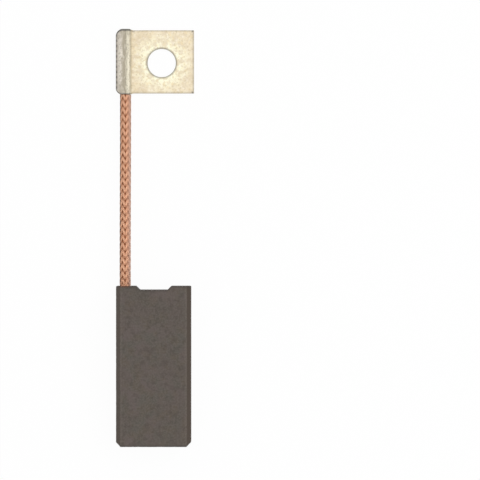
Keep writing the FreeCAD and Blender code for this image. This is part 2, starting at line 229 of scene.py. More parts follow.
def grain(tree, size_mm, detail=2.0, stretch=(1.0, 1.0, 1.0)):
    """Cloudy noise whose spots are about so many millimetres wide."""
    place = add_node(tree, "ShaderNodeMapping", {"Vector": object_place(tree), "Scale": stretch})
    cloud = add_node(tree, "ShaderNodeTexNoise", {
        "Vector": place.outputs["Vector"], "Scale": 1.0 / (size_mm * MM), "Detail": detail,
    })
    return cloud.outputs["Fac"]


def ramp(tree, value, low, high, start=0.0, end=1.0):
    """Stretches a number from low..high to start..end, without running over."""
    made = add_node(tree, "ShaderNodeMapRange", {
        "Value": value, "From Min": low, "From Max": high, "To Min": start, "To Max": end,
    })
    return made.outputs["Result"]


def blend(tree, share, below, above):
    """One colour where the share is 0 and another where it is 1."""
    made = add_node(tree, "ShaderNodeMix", {0: share, 6: below, 7: above}, data_type="RGBA")
    return made.outputs[2]


def maths(tree, operation, first, second=0.0):
    """One step of arithmetic on numbers that vary over the surface."""
    made = add_node(tree, "ShaderNodeMath", {0: first, 1: second}, operation=operation)
    return made.outputs["Value"]


def times(tree, first, second):
    """The product, which for two shares keeps only what both cover."""
    return maths(tree, "MULTIPLY", first, second)


def mm_on(tree, axis):
    """How far the spot is along one axis of the frame, in mm."""
    parts = add_node(tree, "ShaderNodeSeparateXYZ", {0: object_place(tree)})
    return times(tree, parts.outputs[axis], 1.0 / MM)


def mm_from(tree, fixed_place):
    """How far the spot is from a fixed place, which is given in metres. The answer is in mm."""
    apart = add_node(
        tree, "ShaderNodeVectorMath", {0: object_place(tree), 1: fixed_place}, operation="DISTANCE"
    )
    return times(tree, apart.outputs["Value"], 1.0 / MM)


def vertex_mark(tree, name):
    """A number that the mesh keeps on its vertices."""
    return add_node(tree, "ShaderNodeAttribute", attribute_name=name).outputs["Fac"]


def roughen(tree, shader, height, depth_mm):
    """Fine relief that is too small for the mesh."""
    bump = add_node(tree, "ShaderNodeBump", {"Height": height, "Distance": depth_mm * MM})
    tree.links.new(bump.outputs["Normal"], shader.inputs["Normal"])


# %% [markdown]
# Bare copper wire is pink on the crests, where it is rubbed clean, and red brown in the hollows,
# partly from dust that stays there and partly as painted shade, where the metal reflects itself. The
# mesh knows how deep each wire lies, so it keeps that as a number on its vertices, and the finish
# reads it. Two more numbers place a painted sheen on the cord's upper right and a painted shade on
# its left side, in patches. That is simpler than lighting the cord so, and it stays the same from every
# side.


# %% Copper finish
def copper_finish():
    finish, tree, shader = new_finish("bare_copper", Metallic=0.6, Roughness=0.5)
    patches = grain(tree, 1.6)
    crest = blend(tree, patches, paint(255, 208, 174), paint(236, 180, 144))
    # The hollows' red brown is partly dust and partly painted shade between the wires.
    hollow_dust_and_shade = blend(tree, patches, paint(144, 75, 35), paint(164, 93, 52))
    colour = blend(tree, ramp(tree, vertex_mark(tree, "crest"), 0.3, 0.95), hollow_dust_and_shade, crest)
    # Painted sheen: the cord's upper right is painted paler, as if it caught the lamp.
    colour = blend(tree, vertex_mark(tree, "right_flank_sheen"), colour, paint(196, 160, 143))
    # Painted shade: the cord's left side is painted dark, in patches.
    left_shade = times(tree, vertex_mark(tree, "left_flank_shade"), ramp(tree, patches, 0.35, 0.65, 0.5, 1.0))
    colour = blend(tree, left_shade, colour, paint(86, 63, 51))
    tree.links.new(colour, shader.inputs["Base Color"])
    roughen(tree, shader, grain(tree, 0.05, stretch=(1.0, 0.15, 1.0)), 0.004)
    return finish


copper = copper_finish()
print("finish:", copper.name)

# %% [markdown]
# The pigtail is braided, not twisted: 24 flat strands of fine wire run round it, 12 each way, and
# every strand goes over two others and then under two. On a braiding machine a strand changes from
# over to under at fixed places round the cord, so the crests line up in ribs along it. The radius of
# a strand is therefore a wave that depends on its angle alone, and the two families ride opposite
# waves. Each strand is five wires side by side, a little domed. A picture of a braid would look flat
# from the side; real wires catch the light and throw small shadows.

# %% Measures of the braid
CORD_RADIUS = 0.925
STRANDS_EACH_WAY = 12
PATTERN_PITCH = 1.2
LAY = STRANDS_EACH_WAY * PATTERN_PITCH
WIRES_PER_STRAND = 5
WIRE_RADIUS = 0.0395
WAVE_HEIGHT = 0.075
CREST_OVER = 0.035
MID_RADIUS = CORD_RADIUS + CREST_OVER - WIRE_RADIUS - WAVE_HEIGHT
BRAID_ANGLE = math.atan(2.0 * math.pi * MID_RADIUS / LAY)
RIB_ANGLE = 2.0 * math.pi / STRANDS_EACH_WAY
print("lay in mm:", round(LAY, 2), "braid angle in degrees:", round(math.degrees(BRAID_ANGLE), 1))

# %% [markdown]
# Where the cord enters the barrel, the crimp has pressed it from round to the hollow's own shape.
# The same wires go on, so their places are squeezed rather than made anew: first towards a rounded
# square, then down under the dip of the crimp groove.

# %% Squeeze the cord into the barrel
HOLLOW_LEFT, HOLLOW_RIGHT = -6.02, -4.35
HOLLOW_FLOOR = 0.4
CEILING_X = [-6.02, -5.90, -5.65, -5.45, -4.95, -4.65, -4.42, -4.35]
CEILING_Z = [1.25, 1.50, 1.60, 1.57, 1.32, 1.30, 1.40, 1.25]
SQUEEZE_RUN = 0.1
CRIMP_START = 1.2
SQUARENESS = 0.75
END_HEIGHT = ROUTE[-1][2] / MM


def climb(value, start, end):
    """0 up to the start, 1 from the end on, and straight between. It may run backwards too."""
    return np.clip((value - start) / (end - start), 0.0, 1.0)


def eased(share):
    """The same share with a soft start and a soft end."""
    return share * share * (3.0 - 2.0 * share)


def squeezed(side, up, along):
    """Offsets of a wire from the cord's middle, pressed into the hollow past the mouth."""
    share = eased(climb(along, FREE_LENGTH - SQUEEZE_RUN, FREE_LENGTH))
    reach = np.hypot(side, up) + 1e-9
    flatness = np.maximum(np.abs(side), np.abs(up)) / reach
    grow = 1.0 - SQUARENESS + SQUARENESS / flatness
    deeper = climb(along, FREE_LENGTH, FREE_LENGTH + CRIMP_START)
    left = WIRE_X - CORD_RADIUS + (HOLLOW_LEFT - WIRE_X + CORD_RADIUS) * deeper
    half_width = (HOLLOW_RIGHT - left) / 2.0 - WIRE_RADIUS
    middle_x = (HOLLOW_RIGHT + left) / 2.0 - WIRE_X
    pressed_side = middle_x + side / CORD_RADIUS * grow * half_width
    ceiling = np.interp(pressed_side + WIRE_X, CEILING_X, CEILING_Z)
    room = (ceiling - HOLLOW_FLOOR) / 2.0 - WIRE_RADIUS
    pressed_up = (ceiling + HOLLOW_FLOOR) / 2.0 - END_HEIGHT + up / CORD_RADIUS * grow * room
    return side + share * (pressed_side - side), up + share * (pressed_up - up)


print("width of the barrel's hollow in mm:", round(HOLLOW_RIGHT - HOLLOW_LEFT, 2))

# %% [markdown]
# A wire is a thin round bar along a path. Blender can give a curve such a section by itself, but a
# curve keeps no numbers on its vertices for a finish to read. A short loop that carries a ring of
# points along every path gives one plain mesh, which does.


# %% Sweep wires along the line
def sweep(wires, radius, sides):
    """Closed round wires. Each is (along, side, up) in mm, and all are put into one mesh."""
    places, faces = [], []
    turn = np.arange(sides) * 2.0 * math.pi / sides
    for along, side, up in wires:
        if not np.isfinite(side).all():
            continue
        first = len(places)
        middle, up_way = on_route(along)
        centre = middle + up_way * up[:, None]
        centre[:, 0] += side
        ahead = np.gradient(centre, axis=0)
        ahead /= np.linalg.norm(ahead, axis=1)[:, None]
        across = np.cross(ahead, up_way)
        across /= np.linalg.norm(across, axis=1)[:, None]
        over = np.cross(across, ahead)
        for i in range(len(along)):
            ring = centre[i] + radius * (
                np.cos(turn)[:, None] * across[i] + np.sin(turn)[:, None] * over[i]
            )
            places.extend(ring)
        for i in range(len(along) - 1):
            low, high = first + i * sides, first + (i + 1) * sides
            for k in range(sides):
                n = (k + 1) % sides
                faces.append((low + k, low + n, high + n, high + k))
        last = first + (len(along) - 1) * sides
        faces.append(tuple(first + k for k in reversed(range(sides))))
        faces.append(tuple(last + k for k in range(sides)))
    return places, faces


# %% [markdown]
# Now the strands are laid. Each starts one rib further round, with a small random shift, because no
# machine lays them perfectly. Between the top of the cord and its right side the hollows are coloured
# as less deep: a painted sheen there. Just outside the carbon the hollows take the crests' colour:
# painted light against the shade that the block throws there.

# %% Rules of the braid
STRAND_DOME = 0.015
STRAND_SHAKE = 0.012
WIRE_CLOSENESS = 0.98
WAVE_SHARPNESS = 1.6
WOBBLE = 0.006
SHEEN_HOLLOW_LIFT, SHEEN_LIFT_AT, SHEEN_LIFT_HALF = 0.65, 52.0, 36.0
ROOT_LIGHT_CREST, ROOT_LIGHT_RUN = 1.2, 0.5


def over_and_under(angle):
    """A softened square wave that is high over one rib and low over the next."""
    wave = np.cos(math.pi / 2.0 * (angle * 2.0 / RIB_ANGLE + 1.0))
    return np.tanh(WAVE_SHARPNESS * wave) / math.tanh(WAVE_SHARPNESS)


def soft_band(angle, middle, half_width):
    """1 at the middle, fading to 0 at half a width from it. Both of these are in degrees."""
    away = (np.degrees(angle) - middle + 180.0) % 360.0 - 180.0
    return 0.5 + 0.5 * np.cos(np.clip(np.abs(away) / half_width, 0.0, 1.0) * math.pi)


def braid_wires(along, seed):
    """Paths of all braided wires, with their crests and with the angle of each place."""
    shake = np.random.default_rng(seed)
    wires, crests, angles = [], [], []
    pitch_angle = 2.0 * WIRE_RADIUS / (MID_RADIUS * math.cos(BRAID_ANGLE))
    for way in (1, -1):
        for strand in range(STRANDS_EACH_WAY):
            start = strand * RIB_ANGLE + shake.normal(0.0, STRAND_SHAKE)
            turned = start + way * 2.0 * math.pi * along / LAY
            for wire in range(WIRES_PER_STRAND):
                beside = wire - (WIRES_PER_STRAND - 1) / 2.0
                angle = turned + beside * pitch_angle * WIRE_CLOSENESS
                wave = way * over_and_under(turned + beside * pitch_angle / 2.0)
                dome = STRAND_DOME * (beside / 2.0) ** 2 * (0.5 + 0.5 * wave)
                wobble = WOBBLE * np.sin(along * shake.uniform(0.8, 2.0) + shake.uniform(0.0, 6.28))
                radius = MID_RADIUS + WAVE_HEIGHT * wave - dome + wobble - WOBBLE
                side, up = squeezed(radius * np.cos(angle), radius * np.sin(angle), along)
                wires.append((along, side, up))
                crest = 0.5 + 0.5 * wave - dome / STRAND_DOME / 4.0
                # Painted sheen: on the upper right the hollows are coloured as less deep.
                crest = np.maximum(crest, SHEEN_HOLLOW_LIFT * soft_band(angle, SHEEN_LIFT_AT, SHEEN_LIFT_HALF))
                # Painted light: just outside the carbon the hollows take the crests' colour, against the
                # block's shade.
                crests.append(np.maximum(crest, ROOT_LIGHT_CREST - along / ROOT_LIGHT_RUN))
                angles.append(angle)
    return wires, crests, angles


print("wires in the braid:", 2 * STRANDS_EACH_WAY * WIRES_PER_STRAND)

# %% [markdown]
# The braid starts inside the carbon and ends inside the barrel, so neither end can be seen. Its
# stations are even along the free cord and closer where the crimp bends the wires. All strands make
# one mesh, since they are one woven piece on the real cord as well.

# %% Braid the strands
WIRE_SIDES = 5
STATION_STEP = 0.24
ROOT_INSIDE = 1.5
MOST_MARKED = 0.9
# Where round the cord the painted sheen and the painted shade lie, in degrees.
SHEEN_AT, SHEEN_HALF = 22.0, 64.0
LEFT_SHADE_AT, LEFT_SHADE_HALF = 178.0, 58.0
free_stations = np.concatenate([
    np.arange(-ROOT_INSIDE, FREE_LENGTH - SQUEEZE_RUN - 0.1, STATION_STEP),
    FREE_LENGTH - SQUEEZE_RUN * np.array([1.0, 0.5, 0.0]),
    FREE_LENGTH + CRIMP_START * np.array([0.2, 0.4, 0.7, 1.0]),
])
braided, crests, angles = braid_wires(free_stations, seed=24)
angles = np.repeat(np.concatenate(angles), WIRE_SIDES)
places, faces = sweep(braided, WIRE_RADIUS, WIRE_SIDES)
braid = make_piece("pigtail_braid", places, faces, copper)
mark_vertices(braid, "crest", np.repeat(np.concatenate(crests), WIRE_SIDES))
mark_vertices(braid, "right_flank_sheen", MOST_MARKED * soft_band(angles, SHEEN_AT, SHEEN_HALF))
mark_vertices(braid, "left_flank_shade", MOST_MARKED * soft_band(angles, LEFT_SHADE_AT, LEFT_SHADE_HALF))
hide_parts("pigtail")

# %% [markdown]
# A braid of this kind is filled with nearly straight wires, or it would collapse in the crimp.
# They show only as dark copper between the strands. A dark rod would do along the cord, but in the
# crimp every wire goes on to its cut end, so they are wires too, only fewer and thicker.
# The one right in the middle has no direction in which it could be squeezed: its places come out
# as no numbers, numpy warns of it, and the sweep leaves it out. The gap that it leaves could be seen
# only from very close, among the cut ends.

# %% Core wires
CORE_RADIUS = 0.64
CORE_PITCH = 0.125
CORE_LAY = 40.0
CORE_CREST = 0.1


def core_spots():
    """Places in a honeycomb that fit into the core."""
    spots = []
    rows = int(CORE_RADIUS / CORE_PITCH) + 1
    for row in range(-rows, rows + 1):
        up = row * CORE_PITCH * math.sqrt(3.0) / 2.0
        for column in range(-rows, rows + 1):
            side = (column + 0.5 * (row % 2)) * CORE_PITCH
            if math.hypot(side, up) < CORE_RADIUS:
                spots.append((side, up))
    return spots


def core_wires(along):
    """Paths of the core wires, which twist slowly round the cord."""
    wires = []
    twist = 2.0 * math.pi * along / CORE_LAY
    for side, up in core_spots():
        turned_side = side * np.cos(twist) - up * np.sin(twist)
        turned_up = side * np.sin(twist) + up * np.cos(twist)
        wires.append((along, *squeezed(turned_side, turned_up, along)))
    return wires


core_stations = np.concatenate([
    np.linspace(-ROOT_INSIDE, FREE_LENGTH - SQUEEZE_RUN, 40),
    np.linspace(FREE_LENGTH - SQUEEZE_RUN / 2.0, FREE_LENGTH + CRIMP_START, 6),
])
cored = core_wires(core_stations)
places, faces = sweep(cored, CORE_PITCH / 2.0, WIRE_SIDES)
core = make_piece("pigtail_core", places, faces, copper)
mark_vertices(core, "crest", np.full(len(places), CORE_CREST))
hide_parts("pigtail")

# %% [markdown]
# Inside the barrel the wires run straight and pressed together. They end just short of the far
# mouth, where the cut ends show like the dots of a sawn cable. They start from the very places
# where the braid and the core stop, so that no gap opens between them.

# %% Crimped wires
CRIMP_LENGTH = 10.55
CUT_SPREAD = 0.12
CRIMPED_RADIUS = WIRE_RADIUS * 1.15
CRIMPED_SIDES = 6
CRIMPED_STATIONS = 4
CRIMPED_CREST = 0.7


def crimped_wires(seed):
    """Straight paths from the ends of the braid and the core to unevenly cut ends."""
    shake = np.random.default_rng(seed)
    wires = []
    for along, side, up in braided + cored:
        stop = FREE_LENGTH + CRIMP_LENGTH - shake.uniform(0.0, CUT_SPREAD)
        run = np.linspace(along[-1], stop, CRIMPED_STATIONS)
        wires.append((run, np.full(CRIMPED_STATIONS, side[-1]), np.full(CRIMPED_STATIONS, up[-1])))
    return wires


places, faces = sweep(crimped_wires(seed=7), CRIMPED_RADIUS, CRIMPED_SIDES)
crimped = make_piece("pigtail_crimped_wires", places, faces, copper)
mark_vertices(crimped, "crest", np.full(len(places), CRIMPED_CREST))
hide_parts("pigtail")

# %% [markdown]
# The block is pressed from carbon and graphite powder and then ground. Its sides are dull and dark
# grey brown, with soft clouds of three sizes, a grain as fine as dust, faint grinding lines and
# darker pores. One noise alone would look like stone, so each of these has its own size and colour.

# %% Colour of pressed carbon
BLOCK_X, BLOCK_Y, BLOCK_TOP = 6.25, 13.4, 6.3
LONG_BEVEL = 0.73
CONTACT_BEVEL = 0.77
SEAT_MOUTH, SEAT_FLOOR, SEAT_DEPTH = 2.96, 2.32, 0.64


def pressed_carbon(tree, dust, ground):
    """Clouds of three sizes, then the dust, the grinding lines and the pores."""
    clouds = ramp(tree, grain(tree, 2.8, 3.0), 0.42, 0.58)
    wide_clouds = ramp(tree, grain(tree, 6.0, 1.0), 0.42, 0.62, 0.0, 0.5)
    small_clouds = ramp(tree, grain(tree, 1.7, 2.0), 0.48, 0.64, 0.0, 0.55)
    pores = ramp(tree, grain(tree, 0.75, 2.0), 0.5, 0.7, 0.0, 0.45)
    body = blend(tree, clouds, paint(83, 79, 72), paint(94, 83, 80))
    body = blend(tree, wide_clouds, body, paint(80, 72, 64))
    body = blend(tree, small_clouds, body, paint(89, 78, 65))
    body = blend(tree, ramp(tree, dust, 0.35, 0.65, 0.0, 0.7), body, paint(101, 93, 87))
    body = blend(tree, ramp(tree, ground, 0.55, 0.8, 0.0, 0.3), body, paint(76, 69, 64))
    return blend(tree, pores, body, paint(70, 62, 56))


print("block in mm:", 2.0 * BLOCK_X, "x", 2.0 * BLOCK_Y, "x", BLOCK_TOP)

# %% [markdown]
# Handling leaves its marks on a block: a rubbed, paler line runs beside each bevel, and copper dust
# has stained the carbon round the pigtail's root and the edge above it. The bevels, the right one
# more, and the rims of both ends are painted darker as painted shade. All of these follow from how
# far a spot is from a side, an end or the root.


# %% Carbon finish
def behind_end(tree, across, along):
    """How far a spot lies behind the nearer end of the block, in mm. The seat counts as its end."""
    seat = ramp(tree, maths(tree, "ABSOLUTE", across), SEAT_MOUTH, SEAT_FLOOR, 0.0, SEAT_DEPTH)
    seat = times(tree, ramp(tree, along, 0.0, 1.0), seat)
    from_end = maths(tree, "SUBTRACT", BLOCK_Y, maths(tree, "ABSOLUTE", along))
    return maths(tree, "SUBTRACT", from_end, seat)


def worn_and_shaded_edges(tree, body, dust, across, from_end):
    """The rubbed lines, and the painted shade on the bevels and the rims, over the body colour."""
    from_side = maths(tree, "SUBTRACT", BLOCK_X, maths(tree, "ABSOLUTE", across))
    rubbed = times(tree, ramp(tree, from_side, 1.1, 0.85), ramp(tree, dust, 0.3, 0.7, 0.1, 0.6))
    body = blend(tree, rubbed, body, paint(108, 99, 92))
    # Painted shade on the bevels, more on the right one, which the lamp on the right lights more.
    bevel = ramp(tree, from_side, LONG_BEVEL + 0.05, LONG_BEVEL - 0.12)
    bevel = times(tree, bevel, ramp(tree, across, -BLOCK_X, BLOCK_X, 0.5, 1.0))
    body = blend(tree, bevel, body, paint(74, 64, 56))
    # Painted shade: a dark line round the rims of both ends.
    rim = times(tree, ramp(tree, from_end, 0.15, 0.45, 0.5, 0.0), ramp(tree, dust, 0.3, 0.6, 0.6, 1.0))
    return blend(tree, rim, body, paint(62, 58, 55))


def copper_dust(tree, dust, across, along, from_end):
    """Share of copper round the pigtail's root and on the edge above it."""
    round_root = ramp(tree, mm_from(tree, ROUTE[0]), 0.9, 1.5, 0.9, 0.0)
    beside = maths(tree, "ABSOLUTE", maths(tree, "SUBTRACT", across, WIRE_X))
    above = times(tree, ramp(tree, beside, 0.95, 0.55), ramp(tree, from_end, 0.3, 0.15))
    above = times(tree, above, ramp(tree, mm_on(tree, "Z"), 4.8, 6.25, 0.0, 0.5))
    above = times(tree, above, ramp(tree, along, 0.0, 1.0))
    stain = maths(tree, "MAXIMUM", round_root, above)
    return times(tree, stain, ramp(tree, dust, 0.35, 0.6, 0.4, 1.0))


def carbon_finish():
    finish, tree, shader = new_finish(
        "carbon_graphite", Metallic=0.0, Roughness=0.62, Specular_IOR_Level=0.25
    )
    dust = grain(tree, 0.3, 3.0)
    ground = grain(tree, 0.09, 2.0, stretch=(1.0, 0.04, 1.0))
    across, along = mm_on(tree, "X"), mm_on(tree, "Y")
    from_end = behind_end(tree, across, along)
    body = pressed_carbon(tree, dust, ground)
    body = worn_and_shaded_edges(tree, body, dust, across, from_end)
    stain = copper_dust(tree, dust, across, along, from_end)
    body = blend(tree, stain, body, paint(128, 78, 52))
    tree.links.new(body, shader.inputs["Base Color"])
    roughen(tree, shader, maths(tree, "ADD", dust, ground), 0.012)
    return finish


carbon = carbon_finish()
print("finish:", carbon.name)

# %% [markdown]
# Many outlines here are straight runs with rounded corners. One helper walks round such a line and
# gives points at an even step, with true arcs at the corners. It serves the carbon's outline, which
# is closed, and the folded strip of the terminal, which is open. The Bevel modifier could round
# corners too, but it would not keep the points evenly spaced.

# %% Round the corners of a line
ARC_STEP = 0.25


def rounded_line(corners, radii, step, closed):
    """Evenly spaced points along straight runs joined by arcs. All in mm."""
    corners = [np.array(c, float) for c in corners]
    count = len(corners)
    keys = []
    for i, corner in enumerate(corners):
        if not closed and i in (0, count - 1):
            keys.append(corner)
            continue
        back = corners[i - 1] - corner
        ahead = corners[(i + 1) % count] - corner
        back /= np.linalg.norm(back)
        ahead /= np.linalg.norm(ahead)
        half = math.acos(float(np.clip(back @ ahead, -1.0, 1.0))) / 2.0
        cut = radii[i] / math.tan(half)
        middle = corner + (back + ahead) / np.linalg.norm(back + ahead) * radii[i] / math.sin(half)
        start, end = corner + back * cut - middle, corner + ahead * cut - middle
        turn = math.pi - 2.0 * half
        pieces = max(3, int(math.ceil(turn * radii[i] / step)), int(turn / ARC_STEP))
        for k in range(pieces + 1):
            t = k / pieces * turn
            keys.append(middle + (math.sin(turn - t) * start + math.sin(t) * end) / math.sin(turn))
    if closed:
        keys.append(keys[0])
    points = []
    for a, b in zip(keys[:-1], keys[1:]):
        parts = max(1, int(round(np.linalg.norm(b - a) / step)))
        points.extend(a + (b - a) * k / parts for k in range(parts))
    if not closed:
        points.append(keys[-1])
    return np.array(points)


# %% [markdown]
# Seen from above, the block is a rectangle with two bevelled corners at the contact face, which rubs
# on the motor, and a shallow seat with sloped flanks at the other end, where a spring presses.
# Every corner is rounded a little, since a sharp one would chip.

# %% Outline of the carbon block
block_corners = [
    (-BLOCK_X + CONTACT_BEVEL, -BLOCK_Y), (BLOCK_X - CONTACT_BEVEL, -BLOCK_Y),
    (BLOCK_X, -BLOCK_Y + CONTACT_BEVEL), (BLOCK_X, BLOCK_Y),
    (SEAT_MOUTH, BLOCK_Y), (SEAT_FLOOR, BLOCK_Y - SEAT_DEPTH),
    (-SEAT_FLOOR, BLOCK_Y - SEAT_DEPTH), (-SEAT_MOUTH, BLOCK_Y),
    (-BLOCK_X, BLOCK_Y), (-BLOCK_X, -BLOCK_Y + CONTACT_BEVEL),
]
block_radii = [0.12, 0.12, 0.12, 0.2, 0.14, 0.1, 0.1, 0.14, 0.2, 0.12]
block_outline = rounded_line(block_corners, block_radii, 0.2, closed=True)
print("points round the block:", len(block_outline))

# %% [markdown]
# The block is built like a stack of outlines: each level has the same outline, cut narrower where
# the long edges are bevelled. The sharp edges are broken by a few hundredths of a millimetre, with
# small chips, because pressed carbon always crumbles a little there. A box with bevelled edges would
# be quicker, but its edges would be as clean as those of steel.

# %% Stack the outlines
EDGE_BREAK = 0.06
BEVEL_SOFTNESS = 0.03
DEEPEST_CHIP = 0.05
CHIP_REACH_AT_FACE, CHIP_REACH_AT_BEVEL = 0.25, 0.15
CHIPS_PER_MM = 1.7
SIDE_LEVELS = np.linspace(LONG_BEVEL + 0.1, BLOCK_TOP - LONG_BEVEL - 0.1, 12)


def half_width_at(height):
    """Half the block's width at a height, with the bevels' own edges slightly soft."""
    over = min(height, BLOCK_TOP - height) - LONG_BEVEL
    return BLOCK_X + (over - math.hypot(over, BEVEL_SOFTNESS)) / 2.0


def chips_at(height):
    """Depth of the chips round the outline. Only the highest parts of the noise break off."""
    where = [Vector((x * CHIPS_PER_MM, y * CHIPS_PER_MM, height * 0.9)) for x, y in block_outline]
    crumbling = np.array([noise.noise(spot) for spot in where])
    return DEEPEST_CHIP * np.clip(crumbling * 3.0 - 0.6, 0.0, 1.0)


def level_outline(height, inset):
    """The outline at a height, moved inwards by the inset and chipped at random."""
    ahead = np.roll(block_outline, -1, axis=0) - np.roll(block_outline, 1, axis=0)
    ahead /= np.linalg.norm(ahead, axis=1)[:, None]
    inwards = np.stack([-ahead[:, 1], ahead[:, 0]], 1)
    from_face = min(height, BLOCK_TOP - height)
    near_face = climb(from_face, CHIP_REACH_AT_FACE, 0.0)
    near_bevel = climb(abs(from_face - LONG_BEVEL), CHIP_REACH_AT_BEVEL, 0.0)
    chips = chips_at(height)
    line = block_outline + inwards * (inset + chips * near_face)[:, None]
    width = half_width_at(height) - inset - chips * near_bevel
    line[:, 0] = np.clip(line[:, 0], -width, width)
    return line


def edge_levels():
    """(height, inset) of each outline, from the underside to the top."""
    low = [(0.0, EDGE_BREAK), (0.3 * EDGE_BREAK, 0.3 * EDGE_BREAK), (EDGE_BREAK, 0.0)]
    bevel = [(h, 0.0) for h in (0.2, 0.45, LONG_BEVEL - 0.04, LONG_BEVEL)]
    high = [(BLOCK_TOP - h, inset) for h, inset in reversed(low + bevel)]
    return low + bevel + [(h, 0.0) for h in SIDE_LEVELS] + high


print("outlines in the stack:", len(edge_levels()))

# %% [markdown]
# A wall of four-sided faces joins the levels, and flat tiles close the top and the underside. The
# wall is shaded smooth, so that its soft edges look soft, and the tiles are shaded flat.


# %% Make the block
def make_block():
    """Places and faces of the stack, closed by flat tiles below and above."""
    levels = edge_levels()
    count = len(block_outline)
    places = []
    for height, inset in levels:
        places.extend((x, y, height) for x, y in level_outline(height, inset))
    faces = []
    for level in range(len(levels) - 1):
        low, high = level * count, (level + 1) * count
        for k in range(count):
            n = (k + 1) % count
            faces.append((low + k, low + n, high + n, high + k))
    for base, order in ((0, -1), ((len(levels) - 1) * count, 1)):
        rim = [Vector(place[:2]) for place in places[base:base + count]]
        tiles = geometry.delaunay_2d_cdt(rim, [], [list(range(count))], 1, 1e-7)
        own = [base + first[0] for first in tiles[3]]
        faces.extend(tuple(own[corner] for corner in tile)[::order] for tile in tiles[2])
    return places, faces


places, faces = make_block()
block = make_piece("carbon_body", places, faces, carbon)
for face in block.data.polygons:
    face.use_smooth = len(face.vertices) == 4
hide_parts("carbon_block")

# %% [markdown]
# The terminal is one strip of tinned brass, 0.4 mm thick. Its left part is folded up and over the
# copper, and its end comes down onto the flag. Working from the middle of the thickness keeps the
# strip even: one thin surface is folded, and the Solidify modifier gives it both faces. That is how
# the press tool does it, too.

# %% Fold line of the strip, seen from its end
SHEET = 0.4
MIDDLE = SHEET / 2.0
FOLD_START_X = -3.3
BARREL_LEFT, BARREL_RIGHT = -6.42, -3.95
BARREL_TOP = 2.0
fold_corners = [
    (FOLD_START_X, MIDDLE), (BARREL_LEFT + MIDDLE, MIDDLE),
    (BARREL_LEFT + MIDDLE, BARREL_TOP - MIDDLE), (-5.427, BARREL_TOP - MIDDLE),
    (-4.793, 1.483), (BARREL_RIGHT - MIDDLE, 1.715), (BARREL_RIGHT - MIDDLE, 0.45),
]
fold_radii = [0.0, 0.6, 0.6, 0.6, 0.5, 0.3, 0.0]
fold_line = rounded_line(fold_corners, fold_radii, 0.11, closed=False)
fold_ahead = np.gradient(fold_line, axis=0)
fold_ahead /= np.linalg.norm(fold_ahead, axis=1)[:, None]
fold_out = np.stack([-fold_ahead[:, 1], fold_ahead[:, 0]], 1)
print("points across the fold:", len(fold_line))

# %% [markdown]
# Seen from above, the strip's ends are not straight: the barrel sticks out a little further than
# the flag, and its outer corners are trimmed round, the far one a little wider than the near one.
# So the near and the far end of every row are worked out from its X. The crimping die has left a
# row of small tooth marks on the rolled side. They are pressed into the surface rather than cut with
# a boolean, since real marks have no sharp rim.

# %% Ends and tooth marks of the barrel
BARREL_NEAR, BARREL_FAR = 45.50, 56.445
FLAG_NEAR, FLAG_FAR = 45.68, 56.27
FLAG_EDGE_X = 6.69
NEAR_CORNER, FAR_CORNER = 1.02, 1.25
STEP_START_X, STEP_END_X = -4.15, -3.40
TOOTH_START, TOOTH_PITCH, TOOTH_MARKS = 46.625, 0.87, 11
TOOTH_WIDTH, TOOTH_SLOPE, TOOTH_DEPTH = 0.42, 0.12, 0.06


def trim_at(x, corner_radius):
    """How far the strip's end stands back from the barrel's end at an X."""
    into_corner = min(max(BARREL_LEFT + corner_radius - x, 0.0), corner_radius)
    corner = corner_radius - math.sqrt(corner_radius ** 2 - into_corner ** 2)
    return corner + (FLAG_NEAR - BARREL_NEAR) * eased(climb(x, STEP_START_X, STEP_END_X))


def tooth_at(y):
    """1 in the middle of a tooth mark, 0 between the marks."""
    from_first = (y - TOOTH_START) / TOOTH_PITCH
    nearest = np.clip(np.round(from_first), 0, TOOTH_MARKS - 1)
    off_centre = np.abs(from_first - nearest) * TOOTH_PITCH
    return climb(off_centre, (TOOTH_WIDTH + TOOTH_SLOPE) / 2.0, (TOOTH_WIDTH - TOOTH_SLOPE) / 2.0)


print("barrel length in mm:", round(BARREL_FAR - BARREL_NEAR, 3), "tooth marks:", TOOTH_MARKS)

# %% [markdown]
# The groove wanders a little, because copper wire never packs evenly, and its floor is not quite
# flat. The same loop that lays out the folded strip also notes how dark each place is painted: the
# sheared ends, the far one more than the near one, are darker bare brass with painted shade, and the
# die's tooth marks get painted shade in their notches.

# %% Lay out the folded strip
STATIONS = 128
GROOVE_SWAY = 0.07
DENT_HEIGHT, DENT_DROP = 0.03, 0.02
NEAR_CUT_SHADE, FAR_CUT_SHADE = 0.65, 0.9


